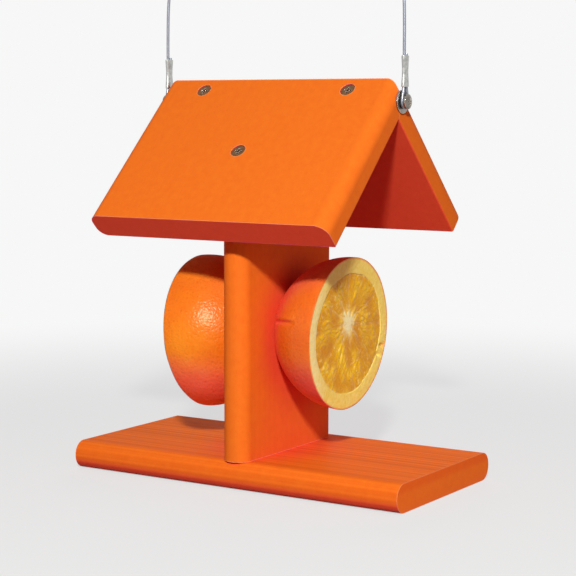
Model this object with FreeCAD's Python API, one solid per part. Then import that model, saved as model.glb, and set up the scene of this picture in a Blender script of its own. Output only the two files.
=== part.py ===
# Oriole feeder: two orange halves on a spike through an upright board, over a base board and
# under a gable roof, all of recycled-plastic boards, hung by a cable from the roof's gable ends.
#
# Millimetres. +Z is up, X runs along the ridge, and the front is at -Y.
# The origin is in the middle of the base board's underside, and the feeder stands on it.

import FreeCAD, Part
import math
import os

# Boards
board_t = 15.9            # all four boards are 5/8 inch thick
edge_flat = 0.8           # flat left in the middle of a board's rounded long edge
base_length = 213.6
base_width = 107.6
post_depth = 95.8         # the upright board's width, which runs front to back
post_inset = 1.7          # its front edge stands this far behind the base's front edge
post_offset = 2.0         # it stands this far right of the middle

# Roof
ridge_height = 225.3      # underside of the base to the top of the ridge
roof_pitch = 44.5         # degrees from the horizontal, both sides
roof_width = 153.2        # along the ridge
roof_slope = 107.5        # ridge to eave down either panel
left_rake_r = 6.0         # rounding of the panels' left edges, both faces
right_rake_r = 7.6        # rounding of the panels' right edges, on the outer face
right_inner_r = 1.0       # the same edges are almost sharp inside

# Screws
shank_r = 2.0
head_r = 4.1
head_sink = 0.4           # countersunk heads lie this far below the board
head_ring = 0.25          # open ring that shows round a countersunk head
head_rim = 0.3            # a countersunk head's upright edge
cone_h = 2.2              # height of a countersunk head, rim and cone
pan_h = 2.4               # height of a pan head
drive_span = 4.4          # cross recess, tip to tip
drive_slot = 1.1
drive_depth = 1.5
tip_l = 4.0               # a screw's point
tip_r = 0.3
wood_gap = 0.02           # between a screw and its hole in the plastic
ridge_screw_inset = 28.9  # in from the roof's ends, clear of the hanger screws
ridge_screw_s = 8.5       # down the slope from the ridge
ridge_screw_l = 32.0
post_screw_s = 55.8
post_screw_shift = -3.4    # left of the post's middle, and still well inside it
post_screw_l = 38.0
base_screw_y = 26.0       # either side of the post's middle
base_screw_l = 38.0
hanger_screw_l = 25.0

# Hanger
hanger_y = 2.4            # the hanger screws' axis
hanger_drop = 12.6        # below the ridge
washer_r = 6.35
washer_t = 1.0
washer_gap = 0.2          # between the washer's hole and the shank
cable_d = 1.8
eye_gap = 0.15            # either side of the cable's eye, and between it and the shank
ferrule_rise = 8.0        # from the screw's axis to the ferrule's lower end
ferrule_l = 16.6
ferrule_end_w = 6.0       # across both strands, at its flared ends
ferrule_end_t = 3.4
ferrule_waist_w = 4.9
ferrule_waist_t = 2.9
ferrule_gap = 0.03

# Fruit
spike_r = 2.0
spike_reach = 30.0        # out of the post, each side
spike_tip = 7.0
spike_tip_r = 0.25
spike_y = 0.0
spike_z = 84.0
bore_gap = 0.1            # between the spike and the fruit
bore_spare = 2.0          # the hole runs past the spike's point
fruit_gap = 0.3           # between the post and the peel
rind_t = 8.0
right_fruit_r = 43.0
right_fruit_depth = 36.1  # cut face to post
right_fruit_press = 5.6   # how far its dome is pressed flat against the post
right_fruit_rise = 0.6    # its cut face's middle above the spike
right_fruit_droop = 2.3   # degrees, the cut face looks down by this much
left_fruit_r = 44.6
left_fruit_depth = 42.9
left_fruit_press = 1.5
left_fruit_rise = -4.2
left_fruit_droop = 5.9

# The cable's route, right half, from its free end through the ferrule, round the screw,
# back through the ferrule, up the leg and over to the middle of the arch
cable_route = [
    (78.65, 3.6, 238.4),
    (78.65, 3.4, 230.0),
    (78.65, 3.6, 221.6),
    (78.65, 4.55, 217.3),
    (78.65, 5.55, 214.0),
    (78.65, 5.55, 211.4),
    (78.65, 3.7, 209.55),
    (78.65, 1.1, 209.55),
    (78.65, -0.75, 211.4),
    (78.65, -0.75, 214.0),
    (78.65, 0.25, 217.3),
    (78.65, 1.2, 221.6),
    (78.65, 1.4, 230.0),
    (78.65, 1.2, 238.6),
    (78.6, 1.3, 253.5),
    (78.2, 1.4, 270.0),
    (74.5, 1.4, 298.0),
    (58.0, 1.4, 324.0),
    (30.0, 1.4, 339.5),
    (0.0, 1.4, 344.0),
]

# Worked out from the sizes above
edge_r = (board_t - edge_flat) / 2
pitch = math.radians(roof_pitch)
post_y = (post_depth - base_width) / 2 + post_inset
right_face_x = post_offset + board_t / 2
left_face_x = post_offset - board_t / 2
hanger_z = ridge_height - hanger_drop
diagonal = math.sqrt(0.5)


def vec(x, y, z):
    return FreeCAD.Vector(x, y, z)


# Boards

def board_face(width, thickness, radii, place):
    """A board's section, v = 0 to thickness, with its own radius at each corner: right outer,
    left outer, left inner, right inner. place(u, v) puts a point of it in space."""
    corners = []
    for (side, up), r in zip(((1, 1), (-1, 1), (-1, -1), (1, -1)), radii):
        u = side * (width / 2 - r)
        v = thickness - r if up > 0 else r
        on_side = place(u + side * r, v)
        on_face = place(u, v + up * r)
        middle = place(u + side * r * diagonal, v + up * r * diagonal)
        first, last = (on_side, on_face) if side == up else (on_face, on_side)
        corners.append((first, middle, last))
    edges = []
    for k, (first, middle, last) in enumerate(corners):
        edges.append(Part.Arc(first, middle, last).toShape())
        following = corners[(k + 1) % len(corners)][0]
        edges.append(Part.LineSegment(last, following).toShape())
    return Part.Face(Part.Wire(edges))


def make_base():
    face = board_face(base_width, board_t, [edge_r] * 4, lambda u, v: vec(-base_length / 2, u, v))
    return face.extrude(vec(base_length, 0, 0))


def roof_point(side, x, along, depth):
    """A point on a panel: side is -1 in front and 1 behind, along runs down the slope from the
    ridge, and depth goes in from the outer face."""
    y = side * (along * math.cos(pitch) - depth * math.sin(pitch))
    z = ridge_height - along * math.sin(pitch) - depth * math.cos(pitch)
    return vec(x, y, z)


def make_panel(side):
    """A roof board, cut on the vertical plane under the ridge, where it meets the other one."""
    radii = (right_rake_r, left_rake_r, left_rake_r, right_inner_r)
    face = board_face(roof_width, board_t, radii, lambda u, v: roof_point(side, u, 0, board_t - v))
    panel = face.extrude(roof_point(side, 0, roof_slope, 0) - roof_point(side, 0, 0, 0))
    reach = roof_slope + board_t
    beyond = Part.makeBox(roof_width * 2, reach, reach * 2)
    beyond.translate(vec(-roof_width, 0 if side < 0 else -reach, ridge_height - reach))
    return panel.cut(beyond)


def make_post():
    """The upright board, its top cut to both roof panels."""
    face = board_face(post_depth, board_t, [edge_r] * 4,
                      lambda u, v: vec(post_offset - board_t / 2 + v, post_y + u, board_t))
    post = face.extrude(vec(0, 0, ridge_height))
    apex = ridge_height - board_t / math.cos(pitch)
    half = base_width
    low = apex - half * math.tan(pitch)
    outline = [(-half, low), (0, apex), (half, low), (half, ridge_height * 2), (-half, ridge_height * 2)]
    corners = [vec(post_offset - board_t, y, z) for y, z in outline]
    above = Part.Face(Part.makePolygon(corners + corners[:1])).extrude(vec(board_t * 2, 0, 0))
    return post.cut(above)


# Screws, drawn with the head's top at the origin and the shank down -Z

def turned(profile):
    """A solid of revolution about Z from its outline of (radius, z)."""
    points = [vec(r, 0, z) for r, z in profile]
    return Part.Face(Part.makePolygon(points + points[:1])).revolve(vec(0, 0, 0), vec(0, 0, 1), 360)


def cross_recess():
    """The cross that a driver fits, narrower at its bottom."""
    recess = None
    for turn in (0, 90):
        wide, narrow = drive_span / 2, drive_span / 4
        corners = [(-wide, 0), (-narrow, -drive_depth), (narrow, -drive_depth), (wide, 0),
                   (wide, drive_depth), (-wide, drive_depth)]
        points = [vec(x, -drive_slot / 2, z) for x, z in corners]
        slot = Part.Face(Part.makePolygon(points + points[:1])).extrude(vec(0, drive_slot, 0))
        slot.rotate(vec(0, 0, 0), vec(0, 0, 1), turn)
        recess = slot if recess is None else recess.fuse(slot)
    return recess


def flat_head_screw(length, grow=0.0, open_head=0.0):
    """Countersunk screw. With grow it is the hole for it, and open_head carries the hole up to
    the board's face."""
    head = head_r + (head_ring if grow else 0)
    shank = shank_r + grow
    screw = turned([(0, open_head), (head, open_head), (head, -head_rim), (shank, -cone_h),
                    (shank, tip_l - length), (tip_r, -length), (0, -length)])
    return screw if grow else screw.cut(cross_recess())


def pan_head_screw(length, grow=0.0):
    """Pan-head screw, its head's underside at the origin. With grow it is the hole for its shank."""
    shank = shank_r + grow
    tip = [(shank, tip_l - length), (tip_r, -length), (0, -length)]
    if grow:
        return turned([(0, 0), (shank, 0)] + tip)
    edge = pan_h * 0.45
    rise = pan_h - edge
    sphere_r = (head_r ** 2 + rise ** 2) / (2 * rise)
    dome = Part.makeSphere(sphere_r, vec(0, 0, pan_h - sphere_r))
    head = Part.makeCylinder(head_r, pan_h).common(dome)
    recess = cross_recess()
    recess.translate(vec(0, 0, pan_h))
    return head.fuse(turned([(0, edge), (shank, edge)] + tip)).removeSplitter().cut(recess)


def driven(screw, point, direction):
    """The screw with its origin at a point and its shank along a direction."""
    turn = FreeCAD.Rotation(vec(0, 0, -1), direction)
    placed = screw.copy()
    placed.Placement = FreeCAD.Placement(point, turn)
    return placed


def screw_places():
    """Name, head point and direction of each countersunk screw, and its length."""
    places = []
    for name, side in (("left", -1), ("right", 1)):
        x = side * (roof_width / 2 - ridge_screw_inset)
        places.append(("ridge_screw_" + name, *roof_seat(-1, x, ridge_screw_s), ridge_screw_l))
    for name, side in (("front", -1), ("back", 1)):
        x = post_offset + post_screw_shift
        places.append(("post_screw_" + name, *roof_seat(side, x, post_screw_s), post_screw_l))
        foot = vec(post_offset, post_y + side * base_screw_y, head_sink)
        places.append(("base_screw_" + name, foot, vec(0, 0, 1), base_screw_l))
    return places


def roof_seat(side, x, along):
    """Where a sunk head lies in a panel's outer face, and the way into the panel."""
    head = roof_point(side, x, along, head_sink)
    inward = roof_point(side, x, along, board_t) - roof_point(side, x, along, 0)
    return head, inward


# Hanger

def hanger_parts(side):
    """The pan-head screw, its washer and the ferrule at one gable end, and the screw's hole."""
    out = vec(side, 0, 0)
    gable = vec(side * roof_width / 2, hanger_y, hanger_z)
    washer = Part.makeCylinder(washer_r, washer_t, gable, out)
    washer = washer.cut(Part.makeCylinder(shank_r + washer_gap, washer_t, gable, out))
    seat = gable + out * (washer_t + cable_d + 2 * eye_gap)
    screw = driven(pan_head_screw(hanger_screw_l), seat, -out)
    hole = driven(pan_head_screw(hanger_screw_l, wood_gap), seat, -out)
    cable_x = side * (roof_width / 2 + washer_t + eye_gap + cable_d / 2)
    ferrule = make_ferrule(cable_x)
    return screw, hole, washer, ferrule


def make_ferrule(x):
    """A sleeve crimped on both strands: an oval tube, narrower at its waist."""
    sections = []
    for share, blend in ((0, 0), (0.12, 0.15), (0.5, 1), (0.88, 0.15), (1, 0)):
        half_w = (ferrule_end_w + (ferrule_waist_w - ferrule_end_w) * blend) / 2
        half_t = (ferrule_end_t + (ferrule_waist_t - ferrule_end_t) * blend) / 2
        centre = vec(x, hanger_y, hanger_z + ferrule_rise + ferrule_l * share)
        oval = Part.Ellipse(centre + vec(0, half_w, 0), centre + vec(half_t, 0, 0), centre)
        sections.append(Part.Wire(oval.toShape()))
    return Part.makeLoft(sections, True)


def cable_points():
    half = [vec(*point) for point in cable_route]
    return half + [vec(-p.x, p.y, p.z) for p in reversed(half[:-1])]


def tube(points, diameter, report=False):
    """A tube along straight runs joined by tangent arcs."""
    edges = []
    radii = []
    start = points[0]
    for before, corner, after in zip(points, points[1:], points[2:]):
        to_before = (before - corner).normalize()
        to_after = (after - corner).normalize()
        half_turn = (math.pi - to_before.getAngle(to_after)) / 2
        tangent = 0.45 * min(before.distanceToPoint(corner), corner.distanceToPoint(after))
        radius = tangent / math.tan(half_turn)
        inward = (to_before + to_after).normalize()
        middle = corner + inward * (radius / math.cos(half_turn) - radius)
        first = corner + to_before * tangent
        last = corner + to_after * tangent
        edges.append(Part.LineSegment(start, first).toShape())
        edges.append(Part.Arc(first, middle, last).toShape())
        radii.append(radius)
        start = last
    edges.append(Part.LineSegment(start, points[-1]).toShape())
    path = Part.Wire(edges)
    section = Part.Wire(Part.makeCircle(diameter / 2, points[0], points[1] - points[0]))
    solid = path.makePipeShell([section], True, False)
    if report:
        print("cable bend radii, mm:", [round(r, 1) for r in radii])
        print("cable length %.1f mm" % path.Length)
        print("volume against section times length: %.4f"
              % (solid.Volume / (math.pi * diameter ** 2 / 4 * path.Length)))
    return solid


# Fruit

def half_ball(radius, length, depth):
    """Half an ellipsoid about X, its flat cut face at x = 0 and its dome towards -X. length is its
    half axis, and the dome is pressed flat at depth, against the post."""
    if length > radius:
        oval = Part.Ellipse(vec(-length, 0, 0), vec(0, radius, 0), vec(0, 0, 0))
        arc = Part.ArcOfEllipse(oval, math.acos(depth / length), math.pi / 2)
    else:
        oval = Part.Ellipse(vec(0, radius, 0), vec(-length, 0, 0), vec(0, 0, 0))
        arc = Part.ArcOfEllipse(oval, 0, math.asin(depth / length))
    pressed = radius * math.sqrt(1 - (depth / length) ** 2)
    corners = [vec(-depth, pressed, 0), vec(-depth, 0, 0), vec(0, 0, 0), vec(0, radius, 0)]
    section = Part.Face(Part.Wire(Part.__sortEdges__([arc.toShape()] + Part.makePolygon(corners).Edges)))
    return section.revolve(vec(0, 0, 0), vec(1, 0, 0), 360)


def make_fruit(side, radius, depth, press, rise, droop):
    """Peel and flesh of an orange half, dome against the post, with the hole that the spike made."""
    face_x = right_face_x if side > 0 else -left_face_x
    dome_x = face_x + fruit_gap
    flesh = half_ball(radius - rind_t, depth + press - rind_t, depth - rind_t)
    peel = half_ball(radius, depth + press, depth + press * 0.9).cut(flesh)
    bore = Part.makeCylinder(spike_r + bore_gap, spike_reach + bore_spare + fruit_gap,
                             vec(face_x - fruit_gap, spike_y, spike_z), vec(1, 0, 0))
    post_side = Part.makeBox(depth, radius * 4, radius * 4,
                             vec(dome_x - depth, spike_y - radius * 2, spike_z - radius * 2))
    halves = []
    for piece in (peel, flesh):
        piece.rotate(vec(0, 0, 0), vec(0, 1, 0), droop)
        piece.translate(vec(dome_x + depth, spike_y, spike_z + rise))
        piece = piece.cut(bore).cut(post_side)
        if side < 0:
            piece = piece.mirror(vec(0, 0, 0), vec(1, 0, 0))
        halves.append(piece)
    return halves


def make_spike():
    """A steel pin through the post, pointed at both ends."""
    half = board_t / 2 + spike_reach
    straight = half - spike_tip
    spike = turned([(0, half), (spike_tip_r, half), (spike_r, straight), (spike_r, -straight),
                    (spike_tip_r, -half), (0, -half)])
    return driven(spike, vec(post_offset, spike_y, spike_z), vec(1, 0, 0))


# Assembly

parts = {
    "base_board": make_base(),
    "post_board": make_post(),
    "roof_panel_front": make_panel(-1),
    "roof_panel_back": make_panel(1),
    "fruit_spike": make_spike(),
}

for side_name, side, sizes in (
    ("right", 1, (right_fruit_r, right_fruit_depth, right_fruit_press, right_fruit_rise, right_fruit_droop)),
    ("left", -1, (left_fruit_r, left_fruit_depth, left_fruit_press, left_fruit_rise, left_fruit_droop)),
):
    peel, flesh = make_fruit(side, *sizes)
    parts["orange_%s_peel" % side_name] = peel
    parts["orange_%s_flesh" % side_name] = flesh

holes = [Part.makeCylinder(spike_r + wood_gap, board_t * 2,
                           vec(post_offset - board_t, spike_y, spike_z), vec(1, 0, 0))]
for name, head, inward, length in screw_places():
    parts[name] = driven(flat_head_screw(length), head, inward)
    holes.append(driven(flat_head_screw(length, wood_gap, head_sink * 2), head, inward))

cable = tube(cable_points(), cable_d, report=True)
strand_holes = tube(cable_points(), cable_d + 2 * ferrule_gap)
parts["hanger_cable"] = cable
for side_name, side in (("right", 1), ("left", -1)):
    screw, hole, washer, ferrule = hanger_parts(side)
    parts["hanger_screw_" + side_name] = screw
    parts["hanger_washer_" + side_name] = washer
    parts["hanger_ferrule_" + side_name] = ferrule.cut(strand_holes)
    holes.append(hole)

for name in ("base_board", "post_board", "roof_panel_front", "roof_panel_back"):
    for hole in holes:
        parts[name] = parts[name].cut(hole)

os.makedirs("parts", exist_ok=True)
for name, shape in parts.items():
    solid = shape.Solids[0] if len(shape.Solids) == 1 else shape
    solid.exportStep("parts/%s.step" % name)
    print("%-24s solids %d valid %s volume %.1f" % (name, len(shape.Solids), shape.isValid(), shape.Volume))
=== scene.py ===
# Oriole feeder: the looks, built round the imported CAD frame. Metres, +Z up, the front at -Y.

import bpy
import math
from mathutils import Matrix, Vector, noise


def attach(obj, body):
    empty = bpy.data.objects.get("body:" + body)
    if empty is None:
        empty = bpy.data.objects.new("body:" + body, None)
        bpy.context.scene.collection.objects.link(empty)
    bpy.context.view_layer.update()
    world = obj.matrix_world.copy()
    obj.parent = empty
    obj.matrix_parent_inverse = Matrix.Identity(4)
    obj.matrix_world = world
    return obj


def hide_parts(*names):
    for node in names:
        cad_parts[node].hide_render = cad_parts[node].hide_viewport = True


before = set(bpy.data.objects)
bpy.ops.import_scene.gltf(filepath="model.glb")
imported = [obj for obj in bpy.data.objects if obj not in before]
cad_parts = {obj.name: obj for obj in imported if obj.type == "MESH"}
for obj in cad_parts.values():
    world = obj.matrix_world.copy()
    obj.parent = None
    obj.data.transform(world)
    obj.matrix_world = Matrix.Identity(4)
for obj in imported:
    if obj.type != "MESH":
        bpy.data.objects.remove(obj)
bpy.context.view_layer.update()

MM = 0.001
QUARTER = math.radians(90)
WHITE = (1, 1, 1, 1)
BLACK = (0, 0, 0, 1)

# noise_vector's offsets come from this seed, and would otherwise differ from run to run
noise.seed_set(1)


# Colours

def srgb(text):
    """A colour written as on a screen, as linear red, green, blue and alpha."""
    channels = [int(text[k:k + 2], 16) / 255 for k in (1, 3, 5)]
    linear = [c / 12.92 if c <= 0.04045 else ((c + 0.055) / 1.055) ** 2.4 for c in channels]
    return (*linear, 1.0)


def grey(level):
    """A linear grey, which also stands for a plain number in a colour ramp."""
    return (level, level, level, 1)


# Node trees

def start_material(name):
    """An empty node material with its shader joined to the output."""
    material = bpy.data.materials.new(name)
    material.use_nodes = True
    tree = material.node_tree
    tree.nodes.clear()
    shader = tree.nodes.new("ShaderNodeBsdfPrincipled")
    output = tree.nodes.new("ShaderNodeOutputMaterial")
    tree.links.new(shader.outputs[0], output.inputs[0])
    return material, tree, shader


def feed(tree, socket, value):
    """Sets an input to a value, or joins it to an output."""
    if isinstance(value, bpy.types.NodeSocket):
        tree.links.new(value, socket)
    else:
        socket.default_value = value


def add(tree, kind, inputs=None, **settings):
    """A node with its settings, and each named input set to a value or joined to an output."""
    made = tree.nodes.new("ShaderNode" + kind)
    for key, value in settings.items():
        setattr(made, key, value)
    for key, value in (inputs or {}).items():
        feed(tree, made.inputs[key], value)
    return made


def dress(tree, shader, inputs):
    """Sets the shader's named inputs, or joins them."""
    for key, value in inputs.items():
        feed(tree, shader.inputs[key], value)


def ramp(tree, factor, stops):
    """A colour ramp through (position, colour) stops."""
    made = add(tree, "ValToRGB", {"Fac": factor})
    elements = made.color_ramp.elements
    while len(elements) < len(stops):
        elements.new(0.5)
    for element, (position, colour) in zip(elements, stops):
        element.position = position
        element.color = colour
    return made.outputs["Color"]


def mix(tree, factor, first, second, blend="MIX"):
    """Two colours mixed by a factor, or blended in another way. The node numbers its sockets for
    colours 6, 7 and 2."""
    inputs = {0: factor, 6: first, 7: second}
    return add(tree, "Mix", inputs, data_type="RGBA", blend_type=blend).outputs[2]


def maths(tree, operation, *values):
    """One step of arithmetic."""
    return add(tree, "Math", dict(enumerate(values)), operation=operation).outputs[0]


def rise(tree, value, start, end, kind="SMOOTHSTEP"):
    """0 up to where a value is start, and 1 from where it is end."""
    inputs = {"Value": value, "From Min": start, "From Max": end}
    return add(tree, "MapRange", inputs, interpolation_type=kind).outputs[0]


def own(tree, output, axis):
    """One axis of the piece's own coordinates, Object or Normal."""
    coordinates = add(tree, "TexCoord").outputs[output]
    return add(tree, "SeparateXYZ", {"Vector": coordinates}).outputs[axis]


def stored(tree, name):
    """A number that the mesh keeps for each point."""
    return add(tree, "Attribute", attribute_name=name).outputs["Fac"]


def place(tree, turn=(0, 0, 0), stretch=(1, 1, 1)):
    """The object's own coordinates, turned and then stretched."""
    coordinates = add(tree, "TexCoord").outputs["Object"]
    turned = add(tree, "Mapping", {"Vector": coordinates, "Rotation": turn}).outputs[0]
    return add(tree, "Mapping", {"Vector": turned, "Scale": stretch}).outputs[0]


def noise_at(tree, where, scale, detail=2.0, rough=0.5):
    """Smooth noise from 0 to 1. scale is how many waves there are to a metre."""
    inputs = {"Vector": where, "Scale": scale, "Detail": detail, "Roughness": rough}
    return add(tree, "TexNoise", inputs).outputs["Fac"]


def darken(tree, base, marks, low, high, tint, share=1.0):
    """base times a tint where marks is at low, and plain base where it is at high."""
    tinted = ramp(tree, marks, [(low, tint), (high, WHITE)])
    return mix(tree, share, base, tinted, "MULTIPLY")


def bump(tree, height, depth, normal=None):
    """A bump of a height from 0 to 1 that stands for a depth in metres."""
    made = add(tree, "Bump", {"Height": height, "Distance": depth, "Strength": 1.0})
    if normal is not None:
        tree.links.new(normal, made.inputs["Normal"])
    return made.outputs["Normal"]


def edges(tree, radius, edge, face):
    """The normal with edges rounded to a radius, and a mask that is 1 on them. edge and face say how
    far the rounded normal may leave the true one there."""
    normal = add(tree, "Bevel", {"Radius": radius}, samples=6).outputs[0]
    true_normal = add(tree, "NewGeometry").outputs["Normal"]
    inputs = {0: normal, 1: true_normal}
    alike = add(tree, "VectorMath", inputs, operation="DOT_PRODUCT").outputs["Value"]
    return normal, ramp(tree, alike, [(edge, WHITE), (face, BLACK)])


def painted_shade_mask(tree, corners=1.0):
    """Mask for painted shade: 0 on open faces, to 1 on those that look down and to corners in the
    corners between pieces, where shade falls."""
    level, downward = -0.10, -0.65
    reach, half_open, nearly_closed = 70 * MM, 0.58, 0.22
    down = rise(tree, own(tree, "Normal", "Z"), level, downward)
    opened = add(tree, "AmbientOcclusion", {"Distance": reach}, samples=8).outputs["AO"]
    corner = maths(tree, "MULTIPLY", rise(tree, opened, half_open, nearly_closed), corners)
    return maths(tree, "MAXIMUM", down, corner)


# Materials

def plastic_board(name, turn, lines, bright=1.0, end_red=0.0):
    """Recycled-plastic board with paler edges, partly wear and partly a painted highlight, and painted
    shade where it looks down and in corners. turn brings the board's length to X, lines is how
    plainly the marks of drawing it through the die show, bright is how pale it is, and end_red how
    much painted shade reddens a sawn end above its foot."""
    material, tree, shader = start_material(name)
    foot, above_foot = 9.0 * MM, 13.0 * MM
    streak_tint, band_tint = (0.86, 0.76, 0.70, 1), (0.89, 0.82, 0.82, 1)
    end_tint, speck_tint = (0.96, 0.74, 0.80, 1), (0.90, 0.84, 0.80, 1)
    painted_shade_tint = (1.0, 0.54, 2.6, 1)
    edge_radius, edge_share = 0.9 * MM, 0.75
    line_depth, speck_depth = 0.25 * MM * lines, 0.035 * MM

    along = place(tree, turn)
    drawn = place(tree, turn, (0.002, 1.0, 1.0))
    face = add(tree, "TexCoord").outputs["Normal"]
    face = add(tree, "Mapping", {"Vector": face, "Rotation": turn}, vector_type="VECTOR").outputs[0]
    end = maths(tree, "ABSOLUTE", add(tree, "SeparateXYZ", {"Vector": face}).outputs["X"])
    not_end = maths(tree, "SUBTRACT", 1.0, end)
    cloud = noise_at(tree, along, 230, 3.0)
    speck = noise_at(tree, along, 900, 3.0, 0.6)
    streak = noise_at(tree, drawn, 330, 2.0, 0.6)
    band = noise_at(tree, drawn, 165, 2.0, 0.5)

    base = ramp(tree, cloud, [(0.3, srgb("#E46E1E")), (0.7, srgb("#E77420"))])
    base = mix(tree, 1.0, base, grey(bright), "MULTIPLY")
    for marks, tint in ((streak, streak_tint), (band, band_tint)):
        base = darken(tree, base, marks, 0.36, 0.56, tint, maths(tree, "MULTIPLY", not_end, lines))
    # Painted shade: a sawn end is darker and redder above its foot.
    upper = rise(tree, own(tree, "Object", "Z"), foot, above_foot)
    upper_end = maths(tree, "MULTIPLY", upper, maths(tree, "MULTIPLY", end, end_red))
    base = mix(tree, upper_end, base, end_tint, "MULTIPLY")
    base = darken(tree, base, speck, 0.30, 0.5, speck_tint, 0.3)
    # Paler edges: partly wear, partly a painted highlight where a rounded edge would catch the light.
    wear_and_painted_highlight = edges(tree, edge_radius, 0.86, 0.985)[1]
    base = mix(tree, maths(tree, "MULTIPLY", wear_and_painted_highlight, edge_share), base, srgb("#F6A468"))
    # Painted shade: a redder tint on faces that look down and in corners.
    base = mix(tree, painted_shade_mask(tree), base, painted_shade_tint, "MULTIPLY")

    normal = bump(tree, maths(tree, "MULTIPLY", not_end, streak), line_depth)
    dress(tree, shader, {
        "Base Color": base,
        "Roughness": ramp(tree, cloud, [(0.3, grey(0.52)), (0.7, grey(0.62))]),
        "Normal": bump(tree, speck, speck_depth, normal),
        "Specular IOR Level": 0.03,
    })
    return material


def steel(name, colour, rough, grain):
    """Metal with scratches, finer for a larger grain, dulled in places, and bright on its edges from wear
    and a painted highlight.
    """
    material, tree, shader = start_material(name)
    dulled = (*(c * 0.72 for c in colour[:3]), 1)
    bright_edge = (0.95, 0.88, 0.78, 1)
    edge_radius, scratch_depth = 0.35 * MM, 0.012 * MM

    scratch = noise_at(tree, place(tree, (0.4, 0.3, 0), (0.15, 1, 1)), grain, 2.0, 0.6)
    base = ramp(tree, noise_at(tree, place(tree), 450, 3.0), [(0.35, dulled), (0.6, colour)])
    # Bright edges: partly wear, partly painted highlights on the rims and in the recess.
    normal, wear_and_painted_highlight = edges(tree, edge_radius, 0.80, 0.98)
    dress(tree, shader, {
        "Base Color": mix(tree, wear_and_painted_highlight, base, bright_edge),
        "Roughness": ramp(tree, scratch, [(0.3, grey(rough * 0.8)), (0.7, grey(rough * 1.3))]),
        "Normal": bump(tree, scratch, scratch_depth, normal),
        "Metallic": 1.0,
    })
    return material


def orange_skin(name, shades, painted_shade_tint, corners):
    """Peel: pebbled zest outside, in three shades, and pale pith where the mesh's pith says so. Its
    top is dull. Where it looks down it takes a painted shade's tint, and in corners as much of it as
    corners says."""
    material, tree, shader = start_material(name)
    pore_tint = (0.72, 0.62, 0.55, 1)
    pith_back, pith_front = -22.0 * MM, -36.0 * MM
    pore_depth, pebble_depth = 0.12 * MM, 0.30 * MM

    where = place(tree)
    pith = stored(tree, "pith")
    cloud = noise_at(tree, where, 45, 3.0)
    pebbles = noise_at(tree, where, 440, 2.0, 0.55)
    fibre = noise_at(tree, where, 500, 4.0, 0.6)
    inputs = {"Vector": where, "Scale": 620.0, "Randomness": 0.9}
    pores = add(tree, "TexVoronoi", inputs, feature="SMOOTH_F1").outputs["Distance"]

    zest = ramp(tree, cloud, [(at, srgb(shade)) for at, shade in zip((0.30, 0.55, 0.8), shades)])
    zest = darken(tree, zest, pores, 0.05, 0.35, pore_tint, 0.4)
    rim = mix(tree, ramp(tree, pith, [(0.02, BLACK), (0.22, WHITE)]), zest, srgb("#EFA040"))
    # Painted shade: a tint on faces that look down and in corners.
    rim = mix(tree, painted_shade_mask(tree, corners), rim, painted_shade_tint, "MULTIPLY")
    yellow = ramp(tree, fibre, [(0.3, srgb("#F2D85C")), (0.5, srgb("#F7E06A")), (0.75, srgb("#FCEC8C"))])
    cream = ramp(tree, fibre, [(0.3, srgb("#FFEC84")), (0.6, srgb("#FFF8A8"))])
    front = rise(tree, own(tree, "Object", "Y"), pith_back, pith_front, "LINEAR")
    pale = mix(tree, front, yellow, cream)
    cut = ramp(tree, pith, [(0.22, BLACK), (0.62, WHITE)])

    rough = ramp(tree, pith, [(0.2, grey(0.33)), (0.6, grey(0.7))])
    top = rise(tree, own(tree, "Normal", "Z"), 0.45, 0.80)
    normal = bump(tree, ramp(tree, pores, [(0.0, BLACK), (0.45, WHITE)]), pore_depth)
    dress(tree, shader, {
        "Base Color": mix(tree, cut, rim, pale),
        "Roughness": mix(tree, top, rough, grey(0.85)),
        "Normal": bump(tree, pebbles, pebble_depth, normal),
        "Subsurface Weight": 0.1,
        "Subsurface Radius": (1.0, 0.5, 0.2),
        "Subsurface Scale": 1.5 * MM,
        "Specular IOR Level": 0.34,
        "Specular Tint": (1.0, 0.88, 0.60, 1),
    })
    return material


def orange_pulp(name):
    """Wet pulp. The mesh's membrane is the pale skin round the segments, its sac tells the juice sacs
    apart, and its patch is how pale their juice is."""
    material, tree, shader = start_material(name)
    gap_shade_tint, fleck_tint = (0.88, 0.78, 0.55, 1), (0.86, 0.80, 0.70, 1)
    fleck_depth = 0.10 * MM

    where = place(tree)
    sac = stored(tree, "sac")
    fleck = noise_at(tree, where, 900, 3.0, 0.65)
    shades = [(0.15, srgb("#DE9C00")), (0.5, srgb("#E8B206")), (0.85, srgb("#F4CC26"))]
    juice = ramp(tree, stored(tree, "patch"), shades)
    # Painted shade in the gaps between the juice sacs.
    juice = darken(tree, juice, sac, 0.05, 0.45, gap_shade_tint, 0.5)
    full = ramp(tree, sac, [(0.6, BLACK), (1.0, WHITE)])
    juice = mix(tree, maths(tree, "MULTIPLY", full, 0.4), juice, srgb("#FFDF70"))
    juice = darken(tree, juice, fleck, 0.35, 0.6, fleck_tint, 0.4)
    # Painted highlights: pale spots, in bunches, stand for glints on the wet juice.
    painted_glints = ramp(tree, noise_at(tree, where, 460, 2.0, 0.6), [(0.54, BLACK), (0.70, grey(0.6))])
    glint_bunches = ramp(tree, noise_at(tree, where, 75, 1.0), [(0.45, BLACK), (0.62, WHITE)])
    juice = mix(tree, maths(tree, "MULTIPLY", painted_glints, glint_bunches), juice, srgb("#FFE886"))
    skin = ramp(tree, fleck, [(0.3, srgb("#FFF09A")), (0.7, srgb("#FFFFC8"))])

    dress(tree, shader, {
        "Base Color": mix(tree, stored(tree, "membrane"), juice, skin),
        "Roughness": ramp(tree, fleck, [(0.3, grey(0.16)), (0.7, grey(0.30))]),
        "Normal": bump(tree, fleck, fleck_depth),
        "Subsurface Weight": 0.3,
        "Subsurface Radius": (1.0, 0.5, 0.12),
        "Subsurface Scale": 2.0 * MM,
        "Specular IOR Level": 0.13,
        "Specular Tint": (1.0, 0.86, 0.50, 1),
    })
    return material


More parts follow.
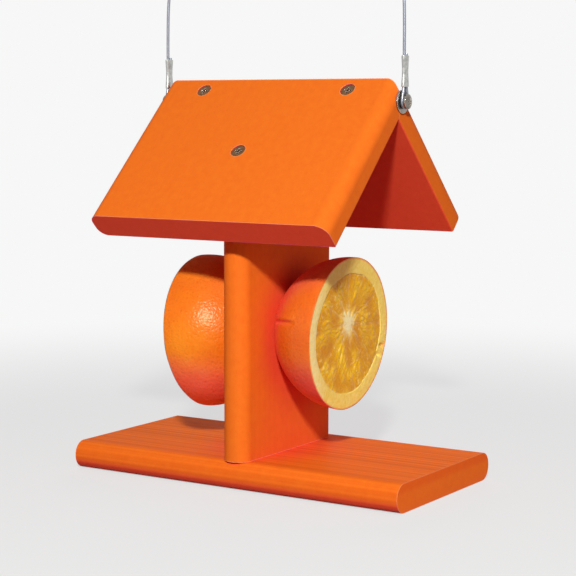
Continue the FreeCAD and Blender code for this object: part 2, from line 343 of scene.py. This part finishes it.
def clear_coated(name):
    """Thin steel cable under clear vinyl. The mesh's strand is 1 on a strand and 0 in a groove."""
    material, tree, shader = start_material(name)
    groove_shade_colour, strand_colour = (0.10, 0.11, 0.12, 1), (0.34, 0.36, 0.40, 1)
    speck_tint = (0.85, 0.87, 0.9, 1)
    speck = noise_at(tree, place(tree), 700, 2.0)
    # Painted shade: the grooves between strands are darker.
    base = ramp(tree, stored(tree, "strand"), [(0.0, groove_shade_colour), (0.6, strand_colour)])
    dress(tree, shader, {
        "Base Color": darken(tree, base, speck, 0.3, 0.7, speck_tint),
        "Roughness": ramp(tree, speck, [(0.3, grey(0.30)), (0.7, grey(0.42))]),
        "Metallic": 0.6,
        "Coat Weight": 0.5,
        "Coat Roughness": 0.12,
    })
    return material


# Meshes

def new_piece(name, points, faces, material, body, node, numbers):
    """A smooth mesh that rides a body and takes the place of a CAD node. numbers holds lists of one
    number a point, which the material reads by their names."""
    mesh = bpy.data.meshes.new(name)
    mesh.from_pydata(points, [], faces)
    mesh.validate()
    mesh.update()
    mesh.materials.append(material)
    mesh.shade_smooth()
    for key, values in numbers.items():
        mesh.attributes.new(key, "FLOAT", "POINT").data.foreach_set("value", values)
    piece = bpy.data.objects.new(name, mesh)
    bpy.context.scene.collection.objects.link(piece)
    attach(piece, body)
    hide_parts(node)
    return piece


def closed_tube(rings, around):
    """Quads between rings of points, and fans that close the first and the last ring with the two
    points that follow the rings."""
    faces = []
    for i in range(rings - 1):
        for j in range(around):
            k = (j + 1) % around
            faces.append((i * around + j, i * around + k, (i + 1) * around + k, (i + 1) * around + j))
    last_ring = (rings - 1) * around
    first_middle = rings * around
    for j in range(around):
        k = (j + 1) % around
        faces.append((first_middle, k, j))
        faces.append((first_middle + 1, last_ring + j, last_ring + k))
    return faces


def turned_over(faces):
    """The faces with their other side out."""
    return [face[::-1] for face in faces]


def turns(count):
    """The angles of points round a ring."""
    step = 2 * math.pi / count
    return [j * step for j in range(count)]


def within_half_turn(angle):
    """An angle brought between half a turn back and half a turn on."""
    return (angle + math.pi) % (2 * math.pi) - math.pi


def wave(x, y, z):
    """Smooth noise from -1 to 1."""
    return noise.noise(Vector((x, y, z)))


def bell(distance, width):
    """1 in the middle, falling off to either side."""
    return math.exp(-(distance / width) ** 2)


def soft_step(distance, width):
    """1 well below zero, to 0 well above it."""
    return 1 / (1 + math.exp(distance / width))


def soft_least(distances, blend):
    """The least of some distances, with a smooth change from one to the next."""
    return -blend * math.log(sum(math.exp(-distance / blend) for distance in distances))


def between_0_and_1(value):
    return max(0.0, min(1.0, value))


# The orange halves, in millimetres

HALF_BOARD = 7.95        # half the post's thickness
POST_OFFSET = 2.0        # of the post's middle, to the right
POST_GAP = 0.3           # between the post and a half
SPIKE_HEIGHT = 84.0
FLAT_MARGIN = 0.02       # how far the pressed end stays inside the CAD peel's
PRESSED_SHARE = 0.985    # how far along the dome its pressed end begins
BORE_RADIUS = 2.1        # of the hole that the spike made
BORE_LENGTH = 32.0
RIM_ROUND = 0.55         # the rounding of the peel's cut edge
RIM_STEPS = 4
PEEL_AROUND = 288
DOME_STEPS = 110
CUT_STEPS = 22
TEAR_LENGTH = 0.45       # as a share of the way across the cut rind
POCKET_GAP = 0.2         # how far the pocket's wall goes under the pulp's edge
POCKET_DEPTH = 3.2
PULP_AROUND = 420
PULP_RINGS = 96
PULP_OVERLAP = 0.1       # how far the pulp goes under the rind's edge
PULP_DEPTH = 3.1


class Half:
    """An orange half. a runs out along its axis from the middle of the cut face, and b and c lie
    in that face, back and up."""

    def __init__(self, name, side, radius, depth, press, rise_above, droop, core, segments,
                 edge_pith, rim_pith, tears, seed):
        self.body = "orange_" + name
        self.side = side
        self.radius = radius
        self.depth = depth
        self.length = depth + press
        self.face_x = HALF_BOARD + POST_OFFSET * side + POST_GAP + depth
        self.rise_above = rise_above
        self.droop = math.radians(droop)
        self.core = core
        self.segments = segments
        self.edge_pith = edge_pith
        self.rim_pith = rim_pith
        self.tears = tears
        self.seed = seed

    def put(self, a, b, c):
        """The point in the row frame, in metres. The post presses the dome flat."""
        x = a * math.cos(self.droop) + c * math.sin(self.droop)
        z = -a * math.sin(self.droop) + c * math.cos(self.droop)
        x = max(x, FLAT_MARGIN - self.depth)
        return Vector((self.side * (self.face_x + x), b, SPIKE_HEIGHT + self.rise_above + z)) * MM

    def bore_at(self, a):
        """Where the level spike's hole runs, as c, at a distance along the tilted axis."""
        return (a * math.sin(self.droop) - self.rise_above) / math.cos(self.droop)

    def rind(self, angle):
        """The rind's thickness, thicker above, below and to the front."""
        usual, above_and_below, to_front = 8.2, 0.75, 0.7
        wobbling, rippling = 1.2, 0.5
        wobble = wave(math.cos(angle) * 2.2, math.sin(angle) * 2.2, self.seed)
        ripple = wave(math.cos(angle) * 7, math.sin(angle) * 7, self.seed + 5)
        even = usual + above_and_below * math.cos(2 * angle) - to_front * math.sin(angle)
        return even + wobbling * wobble + rippling * ripple

    def inside_rind(self, angle):
        """The radius at which the pulp meets the rind."""
        return self.radius - self.rind(angle)

    def lump(self, a, b, c):
        """Low bumps of the whole fruit, always inwards."""
        height, length = 0.28, 14
        here = Vector((a, b, c)) / length + Vector((self.seed, 0, 0))
        return height * (noise.noise(here) - 1)


def crease(half, a, b, c):
    """The short crease in the right half's dome, level and near the post, and its swollen lip."""
    if half.side < 0:
        return 0.0
    middle_a, half_length = -22.5, 11.5
    middle_b, middle_c, slope = -35.6, 7.9, -0.21
    depth, width, end_steepness = 1.8, 0.95, 2.2
    lip_height, lip_width, lip_above = 0.45, 1.6, 2.2
    across = c - (middle_c + slope * (b - middle_b))
    reach = max(0.0, 1 - abs(a - middle_a) / half_length) if b < 0 else 0.0
    shape = lip_height * bell(across - lip_above, lip_width) - depth * bell(across, width)
    return min(1.0, reach * end_steepness) * shape


def peel_profile(half):
    """Rings of the peel's outside, from the end of the spike's hole, over the dome to the cut face:
    (a, radius, pith, bored). bored is 1 for a ring round the hole, which isn't on the half's own
    axis, and 0 for one round that axis."""
    bore_end = BORE_LENGTH - half.depth
    profile = [(bore_end, BORE_RADIUS, 1.0, 1.0), (-half.depth, BORE_RADIUS, 0.4, 1.0)]
    press_angle = math.asin(PRESSED_SHARE)
    pressed = half.radius * math.cos(press_angle)
    for share in (0.2, 0.5, 0.8):
        profile.append((-half.length, BORE_RADIUS + (pressed - BORE_RADIUS) * share, 0.0, 1 - share))
    for k in range(DOME_STEPS + 1):
        angle = press_angle * (1 - k / DOME_STEPS)
        pith = half.edge_pith if k == DOME_STEPS else 0.0
        profile.append((-half.length * math.sin(angle), half.radius * math.cos(angle), pith, 0.0))
    for k in range(1, RIM_STEPS + 1):
        turn = k / RIM_STEPS * QUARTER
        radius = half.radius - RIM_ROUND + RIM_ROUND * math.cos(turn)
        pith = max(half.edge_pith, half.rim_pith * k / RIM_STEPS)
        profile.append((-RIM_ROUND + RIM_ROUND * math.sin(turn), radius, pith, 0.0))
    return profile


def torn(half, angle, r, share):
    """0 on the whole rind, to 1 in the middle of a tear. share runs across the cut rind."""
    most = 0.0
    for at, width, middle in half.tears:
        slip = within_half_turn(angle - math.radians(at))
        most = max(most, math.exp(-(slip * r / width) ** 2 - ((share - middle) / TEAR_LENGTH) ** 2))
    return most


def cut_rind(half, angle, share):
    """A point of the rind's cut face and its pith, share of the way from the rim to the pulp."""
    flat, roughness, sink, tear_depth = -0.18, 0.08, 0.35, 2.2
    highest, zest_depth, fibre_size = -0.02, 1.7, 1.6
    lump = half.lump(0, half.radius * math.sin(angle), half.radius * math.cos(angle))
    outer = half.radius - RIM_ROUND + lump
    inner = half.inside_rind(angle) - POCKET_GAP
    r = outer + (inner - outer) * share
    b, c = r * math.sin(angle), r * math.cos(angle)
    fibre = noise.fractal(Vector((b, c, half.seed)) / fibre_size, 0.7, 2.0, 3)
    tear = torn(half, angle, r, share)
    a = min(highest, flat + roughness * fibre - sink * share ** 2 - tear_depth * tear)
    # In a tear the pith gives way to the rim's darker orange: painted shade in the tear.
    pith = 0.30 + 0.70 * min(1.0, share * half.rind(angle) / zest_depth) * (1 - 0.8 * tear)
    return half.put(a, b, c), pith


def make_peel(half, material):
    """Zest, rim, pith and the hole that the spike made, one closed skin with a pocket for the pulp."""
    lumps_fade = 8.0   # how far from the pressed end the lumps and the crease are whole
    angles = turns(PEEL_AROUND)
    points, pith = [], []
    for a, radius, value, bored in peel_profile(half):
        for angle in angles:
            r = radius
            if bored == 0.0:
                b, c = radius * math.sin(angle), radius * math.cos(angle)
                out = half.lump(a, b, c) + crease(half, a, b, c)
                r = radius + out * min(1.0, (half.length + a) / lumps_fade)
            points.append(half.put(a, r * math.sin(angle), r * math.cos(angle) + half.bore_at(a) * bored))
            pith.append(value)
    for k in range(1, CUT_STEPS + 1):
        for angle in angles:
            point, value = cut_rind(half, angle, k / CUT_STEPS)
            points.append(point)
            pith.append(value)
    for share in (1.0, 0.5, 0.05):
        for angle in angles:
            r = (half.inside_rind(angle) - POCKET_GAP) * share
            points.append(half.put(-POCKET_DEPTH, r * math.sin(angle), r * math.cos(angle)))
            pith.append(1.0)
    rings = len(points) // PEEL_AROUND
    bore_end = BORE_LENGTH - half.depth
    points += [half.put(bore_end, 0, half.bore_at(bore_end)), half.put(-POCKET_DEPTH, 0, 0)]
    pith += [1.0, 1.0]
    faces = closed_tube(rings, PEEL_AROUND)
    if half.side > 0:
        faces = turned_over(faces)
    new_piece(half.body + "_rind", points, faces, material, half.body, half.body + "_peel",
              {"pith": pith})


def pulp_wall(half, angle):
    """The distance from the core to the rind, along an angle about the core."""
    core_b, core_c = half.core
    r = 25.0
    for _ in range(6):
        b, c = core_b + r * math.sin(angle), core_c + r * math.cos(angle)
        limit = half.inside_rind(math.atan2(b, c)) + PULP_OVERLAP
        r += limit - math.hypot(b, c)
    return r


def pulp_skins(half):
    """The skins between segments: the angle of each about the core, and how far out it stays pale."""
    uneven = 0.22
    usual_reach, reach_spread = 5.5, 11.0
    count = half.segments
    shifts = [wave(k * 3.7, half.seed, 0.5) * uneven for k in range(count)]
    angles = [2 * math.pi * (k + shift) / count for k, shift in enumerate(shifts)]
    reaches = [usual_reach + reach_spread * wave(k * 2.9, half.seed, 4.5) for k in range(count)]
    return angles, reaches


def nearest_skin(skins, angle):
    """The angle from the nearest skin, and which one it is."""
    slips = [within_half_turn(angle - skin) for skin in skins]
    which = min(range(len(slips)), key=lambda k: abs(slips[k]))
    return slips[which], which


def skin_bend(half, r, b, c, angle):
    """How far the skins wander off their straight lines, as an angle: slowly, and in short kinks."""
    wander, wander_length = 0.10, 9
    kink, kink_length, least_r = 0.9, 3.4, 4.0
    slow = wander * wave(r / wander_length, half.seed, angle * 1.5)
    return slow + kink * wave(b / kink_length, c / kink_length, half.seed + 7) / max(r, least_r)


def distance_off_core(half, r, angle, side_way, reach, grain):
    """The distance from the core's edge, which is a star with points along the skins, uneven and
    grainy."""
    core_radius, unevenness, graininess = 3.5, 2.6, 2.2
    star_length, star_width = 4.0, 1.7
    star = star_length * bell(side_way, star_width) * (0.2 + 0.10 * reach)
    uneven = unevenness * wave(math.sin(angle) * 1.4, math.cos(angle) * 1.4, half.seed)
    return r - core_radius - star - uneven - graininess * grain


def skin_paleness(half, which, reach, r, off_wall, grain):
    """How pale a skin is: most near the core, as far as its reach, and along the rind."""
    least, most, near_core, shortest_reach = 0.06, 0.62, 6, 1.5
    patchiness, patch_length, graininess, rind_blur = 0.35, 4, 1.2, 1.3
    pale = least + most * math.exp(-max(0.0, r - near_core) / max(shortest_reach, reach))
    pale += patchiness * wave(which * 2.3, r / patch_length, half.seed)
    pale *= 1 + graininess * grain
    return max(pale, math.exp(-off_wall / rind_blur))


def juice_sac(half, r, side_way, cell):
    """How round and how bright a juice sac is at a place. The sacs lie along the segment."""
    sac_length, sac_width, sharpness = 6.6, 3.0, 2.0
    crooked, bend_length, bend_width = 0.45, 6, 4
    tone_length, tone_width = 5, 2.2
    where = Vector((r / sac_length, side_way / sac_width, cell * 7.3 + half.seed))
    where += noise.noise_vector(Vector((r / bend_length, side_way / bend_width, cell))) * crooked
    near, far = noise.voronoi(where)[0][:2]
    tone = wave(r / tone_length, side_way / tone_width, cell * 3.1 + half.seed)
    return between_0_and_1((far - near) * sharpness), tone


def pulp_point(half, skins, reaches, wall, angle, share):
    """A place on the cut pulp as (a, b, c), and its (membrane, sac, patch). Factors such as 5.1 of
    the cell only give each segment its own place in the noise."""
    skin_half, skin_blur = 0.36, 0.2
    core_start, core_blur = 0.3, 1.5
    flat, highest = -0.85, -0.05
    sac_height, sac_uneven, sac_roundness = 0.38, 0.5, 0.6
    swelling, dip, dip_width = 0.35, -0.3, 1.0
    skin_height, core_height = 0.35, 0.25
    grain_size, blotch_size = 2.1, 8
    core_b, core_c = half.core
    r = wall * share
    b, c = core_b + r * math.sin(angle), core_c + r * math.cos(angle)
    grain = wave(b / grain_size, c / grain_size, half.seed + 2)
    slip, which = nearest_skin(skins, angle + skin_bend(half, r, b, c, angle))
    side_way = slip * r
    cell = which if slip > 0 else (which - 1) % half.segments

    # How deep inside a segment the place is, away from its skins, the rind and the core
    off_core = distance_off_core(half, r, angle, side_way, reaches[which], grain)
    off_wall = wall - r
    inside = soft_least((abs(side_way), off_wall, off_core), 0.5)
    skin = soft_step(inside - skin_half, skin_blur)
    core = soft_step(off_core - core_start, core_blur)
    pale = skin_paleness(half, which, reaches[which], r, off_wall, grain)

    # Plump sacs and segments, lower along the skins
    round_sac, tone = juice_sac(half, r, side_way, cell)
    blotch = wave(b / blotch_size, c / blotch_size, half.seed / 8)
    plump = (sac_height + sac_uneven * blotch) * round_sac ** sac_roundness * (1 - skin)
    swell = swelling * wave(cell * 5.1, half.seed, 0.3) * (1 - skin)
    low = dip * bell(max(inside, 0), dip_width)
    a = min(highest, flat + plump + swell + low + skin_height * skin + core_height * core)

    membrane = between_0_and_1(max(skin * pale, core))
    sac = between_0_and_1(0.6 * round_sac + 0.55 * tone)
    patch = 0.5 + 0.5 * blotch + 0.3 * wave(cell * 2.1, 1, 1)
    return (a, b, c), (membrane, sac, patch)


def make_pulp(half, material):
    """The cut segments, their skins and the core, in the rind's pocket."""
    edge_a, core_a = -0.9, -0.5
    ring_power = 0.8   # below 1, so the rings lie closer together towards the rind
    core_b, core_c = half.core
    skins, reaches = pulp_skins(half)
    angles = turns(PULP_AROUND)
    walls = [pulp_wall(half, angle) for angle in angles]
    points, marks = [], []
    for i in range(1, PULP_RINGS + 1):
        share = (i / PULP_RINGS) ** ring_power
        for angle, wall in zip(angles, walls):
            (a, b, c), mark = pulp_point(half, skins, reaches, wall, angle, share)
            points.append(half.put(edge_a if i == PULP_RINGS else a, b, c))
            marks.append(mark)
    for angle, wall in zip(angles, walls):
        b, c = core_b + wall * math.sin(angle), core_c + wall * math.cos(angle)
        points.append(half.put(-PULP_DEPTH, b, c))
        marks.append((1.0, 0.0, 0.5))
    points += [half.put(core_a, core_b, core_c), half.put(-PULP_DEPTH, core_b, core_c)]
    marks += [(1.0, 0.5, 0.5), (1.0, 0.0, 0.5)]
    faces = closed_tube(PULP_RINGS + 1, PULP_AROUND)
    if half.side < 0:
        faces = turned_over(faces)
    numbers = dict(zip(("membrane", "sac", "patch"), zip(*marks)))
    new_piece(half.body + "_pulp", points, faces, material, half.body, half.body + "_flesh",
              numbers)


# The hanger's cable

CABLE_ROUTE = [   # right half, from its end through the ferrule, round the screw and up, millimetres
    (78.65, 3.6, 238.4),
    (78.65, 3.4, 230.0),
    (78.65, 3.6, 221.6),
    (78.65, 4.55, 217.3),
    (78.65, 5.55, 214.0),
    (78.65, 5.55, 211.4),
    (78.65, 3.7, 209.55),
    (78.65, 1.1, 209.55),
    (78.65, -0.75, 211.4),
    (78.65, -0.75, 214.0),
    (78.65, 0.25, 217.3),
    (78.65, 1.2, 221.6),
    (78.65, 1.4, 230.0),
    (78.65, 1.2, 238.6),
    (78.6, 1.3, 253.5),
    (78.2, 1.4, 270.0),
    (74.5, 1.4, 298.0),
    (58.0, 1.4, 324.0),
    (30.0, 1.4, 339.5),
    (0.0, 1.4, 344.0),
]


def cable_line():
    """Points along the NURBS spline of the cable's route."""
    route = CABLE_ROUTE + [(-x, y, z) for x, y, z in reversed(CABLE_ROUTE[:-1])]
    curve = bpy.data.curves.new("cable_route", "CURVE")
    curve.dimensions = "3D"
    curve.resolution_u = 24
    spline = curve.splines.new("NURBS")
    spline.points.add(len(route) - 1)
    for point, here in zip(spline.points, route):
        point.co = (*(value * MM for value in here), 1.0)
    spline.order_u = 3
    spline.use_endpoint_u = True
    carrier = bpy.data.objects.new("cable_route", curve)
    mesh = bpy.data.meshes.new_from_object(carrier)
    line = [vertex.co.copy() for vertex in mesh.vertices]
    bpy.data.objects.remove(carrier)
    bpy.data.meshes.remove(mesh)
    return line


def make_cable(material):
    """Strands twisted under a clear coat, as one tube with a lobed, turning section, and its line."""
    line = cable_line()
    strands, around = 6, 24
    radius, groove, lay = 0.86 * MM, 0.07 * MM, 9.0 * MM
    end_strand = 0.2
    points, strand = [], []
    travelled = 0.0
    normal = Vector((1, 0, 0))
    for k, here in enumerate(line):
        before, after = line[max(k - 1, 0)], line[min(k + 1, len(line) - 1)]
        travelled += (here - before).length
        tangent = (after - before).normalized()
        normal = (normal - tangent * normal.dot(tangent)).normalized()
        across = tangent.cross(normal)
        for angle in turns(around):
            lobe = 0.5 + 0.5 * math.cos(strands * (angle - 2 * math.pi * travelled / lay))
            r = radius + groove * (lobe - 0.5)
            points.append(here + (normal * math.cos(angle) + across * math.sin(angle)) * r)
            strand.append(lobe)
    points += [line[0], line[-1]]
    strand += [end_strand, end_strand]
    piece = new_piece("cable", points, closed_tube(len(line), around), material, "hanger",
                      "hanger_cable", {"strand": strand})
    return piece, line


# The boards and the metal pieces keep their CAD meshes

def paint(node, material):
    """Gives a CAD node's mesh its material."""
    for place_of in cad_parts[node].material_slots:
        place_of.material = material


roof_turn = math.radians(44.5)
paint("base_board", plastic_board("plastic_base", (0, 0, 0), 0.7, bright=1.13, end_red=0.8))
paint("post_board", plastic_board("plastic_post", (0, QUARTER, 0), 0.08))
paint("roof_panel_front", plastic_board("plastic_roof_front", (-roof_turn, 0, QUARTER), 0.05))
paint("roof_panel_back", plastic_board("plastic_roof_back", (roof_turn, 0, QUARTER), 0.05))

# The screws' brown is partly rust and partly a painted reflection of the orange boards round them.
screw_steel = steel("steel_screws", (0.22, 0.11, 0.045, 1), 0.30, 900)
hanger_steel = steel("steel_hanger_screws", (0.26, 0.23, 0.20, 1), 0.28, 900)
washer_steel = steel("steel_washers", (0.32, 0.29, 0.26, 1), 0.26, 1100)
sleeve_metal = steel("crimped_sleeves", (0.52, 0.52, 0.50, 1), 0.26, 1400)
metals = {"hanger_screw": hanger_steel, "screw": screw_steel, "washer": washer_steel,
          "fruit_spike": washer_steel, "ferrule": sleeve_metal}
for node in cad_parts:
    for word, metal in metals.items():
        if word in node:
            paint(node, metal)
            break


# The fruit and the cable

# Painted shade: the right peel's shades are darker and redder than the left's, as it lies further in
# shade, and each peel has its own painted shade tint.
peel_right = orange_skin("peel_right", ("#E26218", "#E8701E", "#F08026"), (1.08, 0.70, 6.0, 1), 0.8)
peel_left = orange_skin("peel_left", ("#E4700E", "#EA7E12", "#EE8E1A"), (1.16, 0.66, 11.0, 1), 0.25)
pulp = orange_pulp("pulp")
right_half = Half("right", side=1, radius=43.0, depth=36.1, press=5.6, rise_above=0.6, droop=2.3,
                  core=(-0.9, 6.2), segments=11, edge_pith=0.0, rim_pith=0.30,
                  tears=((106.5, 1.0, 0.25), (115, 0.9, 0.75)), seed=3.0)
left_half = Half("left", side=-1, radius=44.6, depth=42.9, press=1.5, rise_above=-4.2, droop=5.9,
                 core=(1.5, -2.0), segments=10, edge_pith=0.45, rim_pith=0.90,
                 tears=((205, 0.4, 0.5),), seed=8.0)
for half, peel in ((right_half, peel_right), (left_half, peel_left)):
    make_peel(half, peel)
    make_pulp(half, pulp)

cable, cable_path = make_cable(clear_coated("cable"))


# Stage: floor, world, lamps and camera

BACKGROUND = grey(0.93)
FILL = 0.17
FILL_COLOUR = (1.0, 0.64, 0.95, 1)


def seen_rays(tree, rays):
    """1 for rays that show the background: the camera's, and those mirrored or sent through glass."""
    mirrored = maths(tree, "MAXIMUM", rays.outputs["Is Glossy Ray"], rays.outputs["Is Transmission Ray"])
    return maths(tree, "MAXIMUM", rays.outputs["Is Camera Ray"], mirrored)


def make_floor():
    """A pale floor that fades into the pale background far from the object."""
    radius, corners, height = 3.5, 64, -0.0002
    fade_start, fade_end, least_fade = 0.22, 0.75, 0.66
    seen_colour = (0.605, 0.650, 0.605, 1)
    lighting_colour, bounced_colour = grey(0.22), (0.24, 0.10, 0.17, 1)
    ring = [(radius * math.cos(turn), radius * math.sin(turn), height) for turn in turns(corners)]
    mesh = bpy.data.meshes.new("floor")
    mesh.from_pydata(ring, [], [tuple(range(corners))])
    floor = bpy.data.objects.new("floor", mesh)
    bpy.context.scene.collection.objects.link(floor)
    material, tree, shader = start_material("floor")
    rays = add(tree, "LightPath")
    seen = seen_rays(tree, rays)
    bounced = mix(tree, rays.outputs["Is Diffuse Ray"], lighting_colour, bounced_colour)
    dress(tree, shader, {"Base Color": mix(tree, seen, bounced, seen_colour), "Roughness": 0.9})
    where = add(tree, "TexCoord").outputs["Object"]
    away = add(tree, "VectorMath", {0: where}, operation="LENGTH").outputs["Value"]
    fade = rise(tree, away, fade_start, fade_end)
    fade = add(tree, "MapRange", {"Value": fade, "To Min": least_fade}).outputs[0]
    glow = add(tree, "Emission", {"Color": BACKGROUND, "Strength": 1.0})
    share = maths(tree, "MULTIPLY", fade, seen)
    both = add(tree, "MixShader", {0: share, 1: shader.outputs[0], 2: glow.outputs[0]})
    output = next(n for n in tree.nodes if n.type == "OUTPUT_MATERIAL")
    tree.links.new(both.outputs[0], output.inputs[0])
    mesh.materials.append(material)


def make_world():
    """Even soft light, and a pale background for the camera and for what mirrors it."""
    world = bpy.data.worlds.new("studio")
    bpy.context.scene.world = world
    world.use_nodes = True
    tree = world.node_tree
    tree.nodes.clear()
    seen = seen_rays(tree, add(tree, "LightPath"))
    light = add(tree, "Background", {"Color": FILL_COLOUR, "Strength": FILL})
    pale = add(tree, "Background", {"Color": BACKGROUND, "Strength": 1.0})
    both = add(tree, "MixShader", {0: seen, 1: light.outputs[0], 2: pale.outputs[0]})
    output = tree.nodes.new("ShaderNodeOutputWorld")
    tree.links.new(both.outputs[0], output.inputs[0])


def make_lamp(name, direction, size, power, colour=(1, 1, 1), glints=True):
    """A soft round lamp that looks at the feeder's middle from a direction, with glints or without."""
    middle, distance = Vector((0, 0, 0.11)), 1.6
    data = bpy.data.lights.new(name, "AREA")
    data.shape = "DISK"
    data.size = size
    data.energy = power
    data.color = colour
    lamp = bpy.data.objects.new(name, data)
    bpy.context.scene.collection.objects.link(lamp)
    away = Vector(direction).normalized()
    lamp.location = middle + away * distance
    lamp.visible_glossy = glints
    lamp.rotation_mode = "QUATERNION"
    lamp.rotation_quaternion = (-away).to_track_quat("-Z", "Y")


def make_camera():
    """The photograph's viewpoint, fitted to the feeder's edges."""
    yaw, pitch, roll = math.radians(32.75), math.radians(6.52), math.radians(0.06)
    focal_pixels, picture = 1686.15, 576
    middle_shift = (-8.55, 12.95)
    target, distance = Vector((0, 0, 0.1)), 0.9612
    back = Vector((math.sin(yaw) * math.cos(pitch), -math.cos(yaw) * math.cos(pitch), math.sin(pitch)))
    right = (-back).cross(Vector((0, 0, 1))).normalized()
    up = right.cross(-back)
    tilted_right = right * math.cos(roll) + up * math.sin(roll)
    tilted_up = up * math.cos(roll) - right * math.sin(roll)
    data = bpy.data.cameras.new("camera")
    data.sensor_width = 36.0
    data.lens = focal_pixels * data.sensor_width / picture
    data.shift_x = -middle_shift[0] / picture
    data.shift_y = middle_shift[1] / picture
    camera = bpy.data.objects.new("camera", data)
    bpy.context.scene.collection.objects.link(camera)
    turn = Matrix((tilted_right, tilted_up, back)).transposed()
    camera.matrix_world = Matrix.Translation(target + back * distance) @ turn.to_4x4()
    bpy.context.scene.camera = camera


make_floor()
make_world()
make_lamp("key", (18.2, -31.3, 18.2), size=0.12, power=26.4)
make_lamp("side", (1.0, -0.25, 0.12), size=0.9, power=3.4, colour=(1.0, 0.80, 0.9), glints=False)
make_lamp("back", (-0.5, 1.0, 0.12), size=0.9, power=11.5, colour=(1.0, 0.93, 0.88), glints=False)
make_camera()
bpy.context.scene.view_settings.view_transform = "Standard"
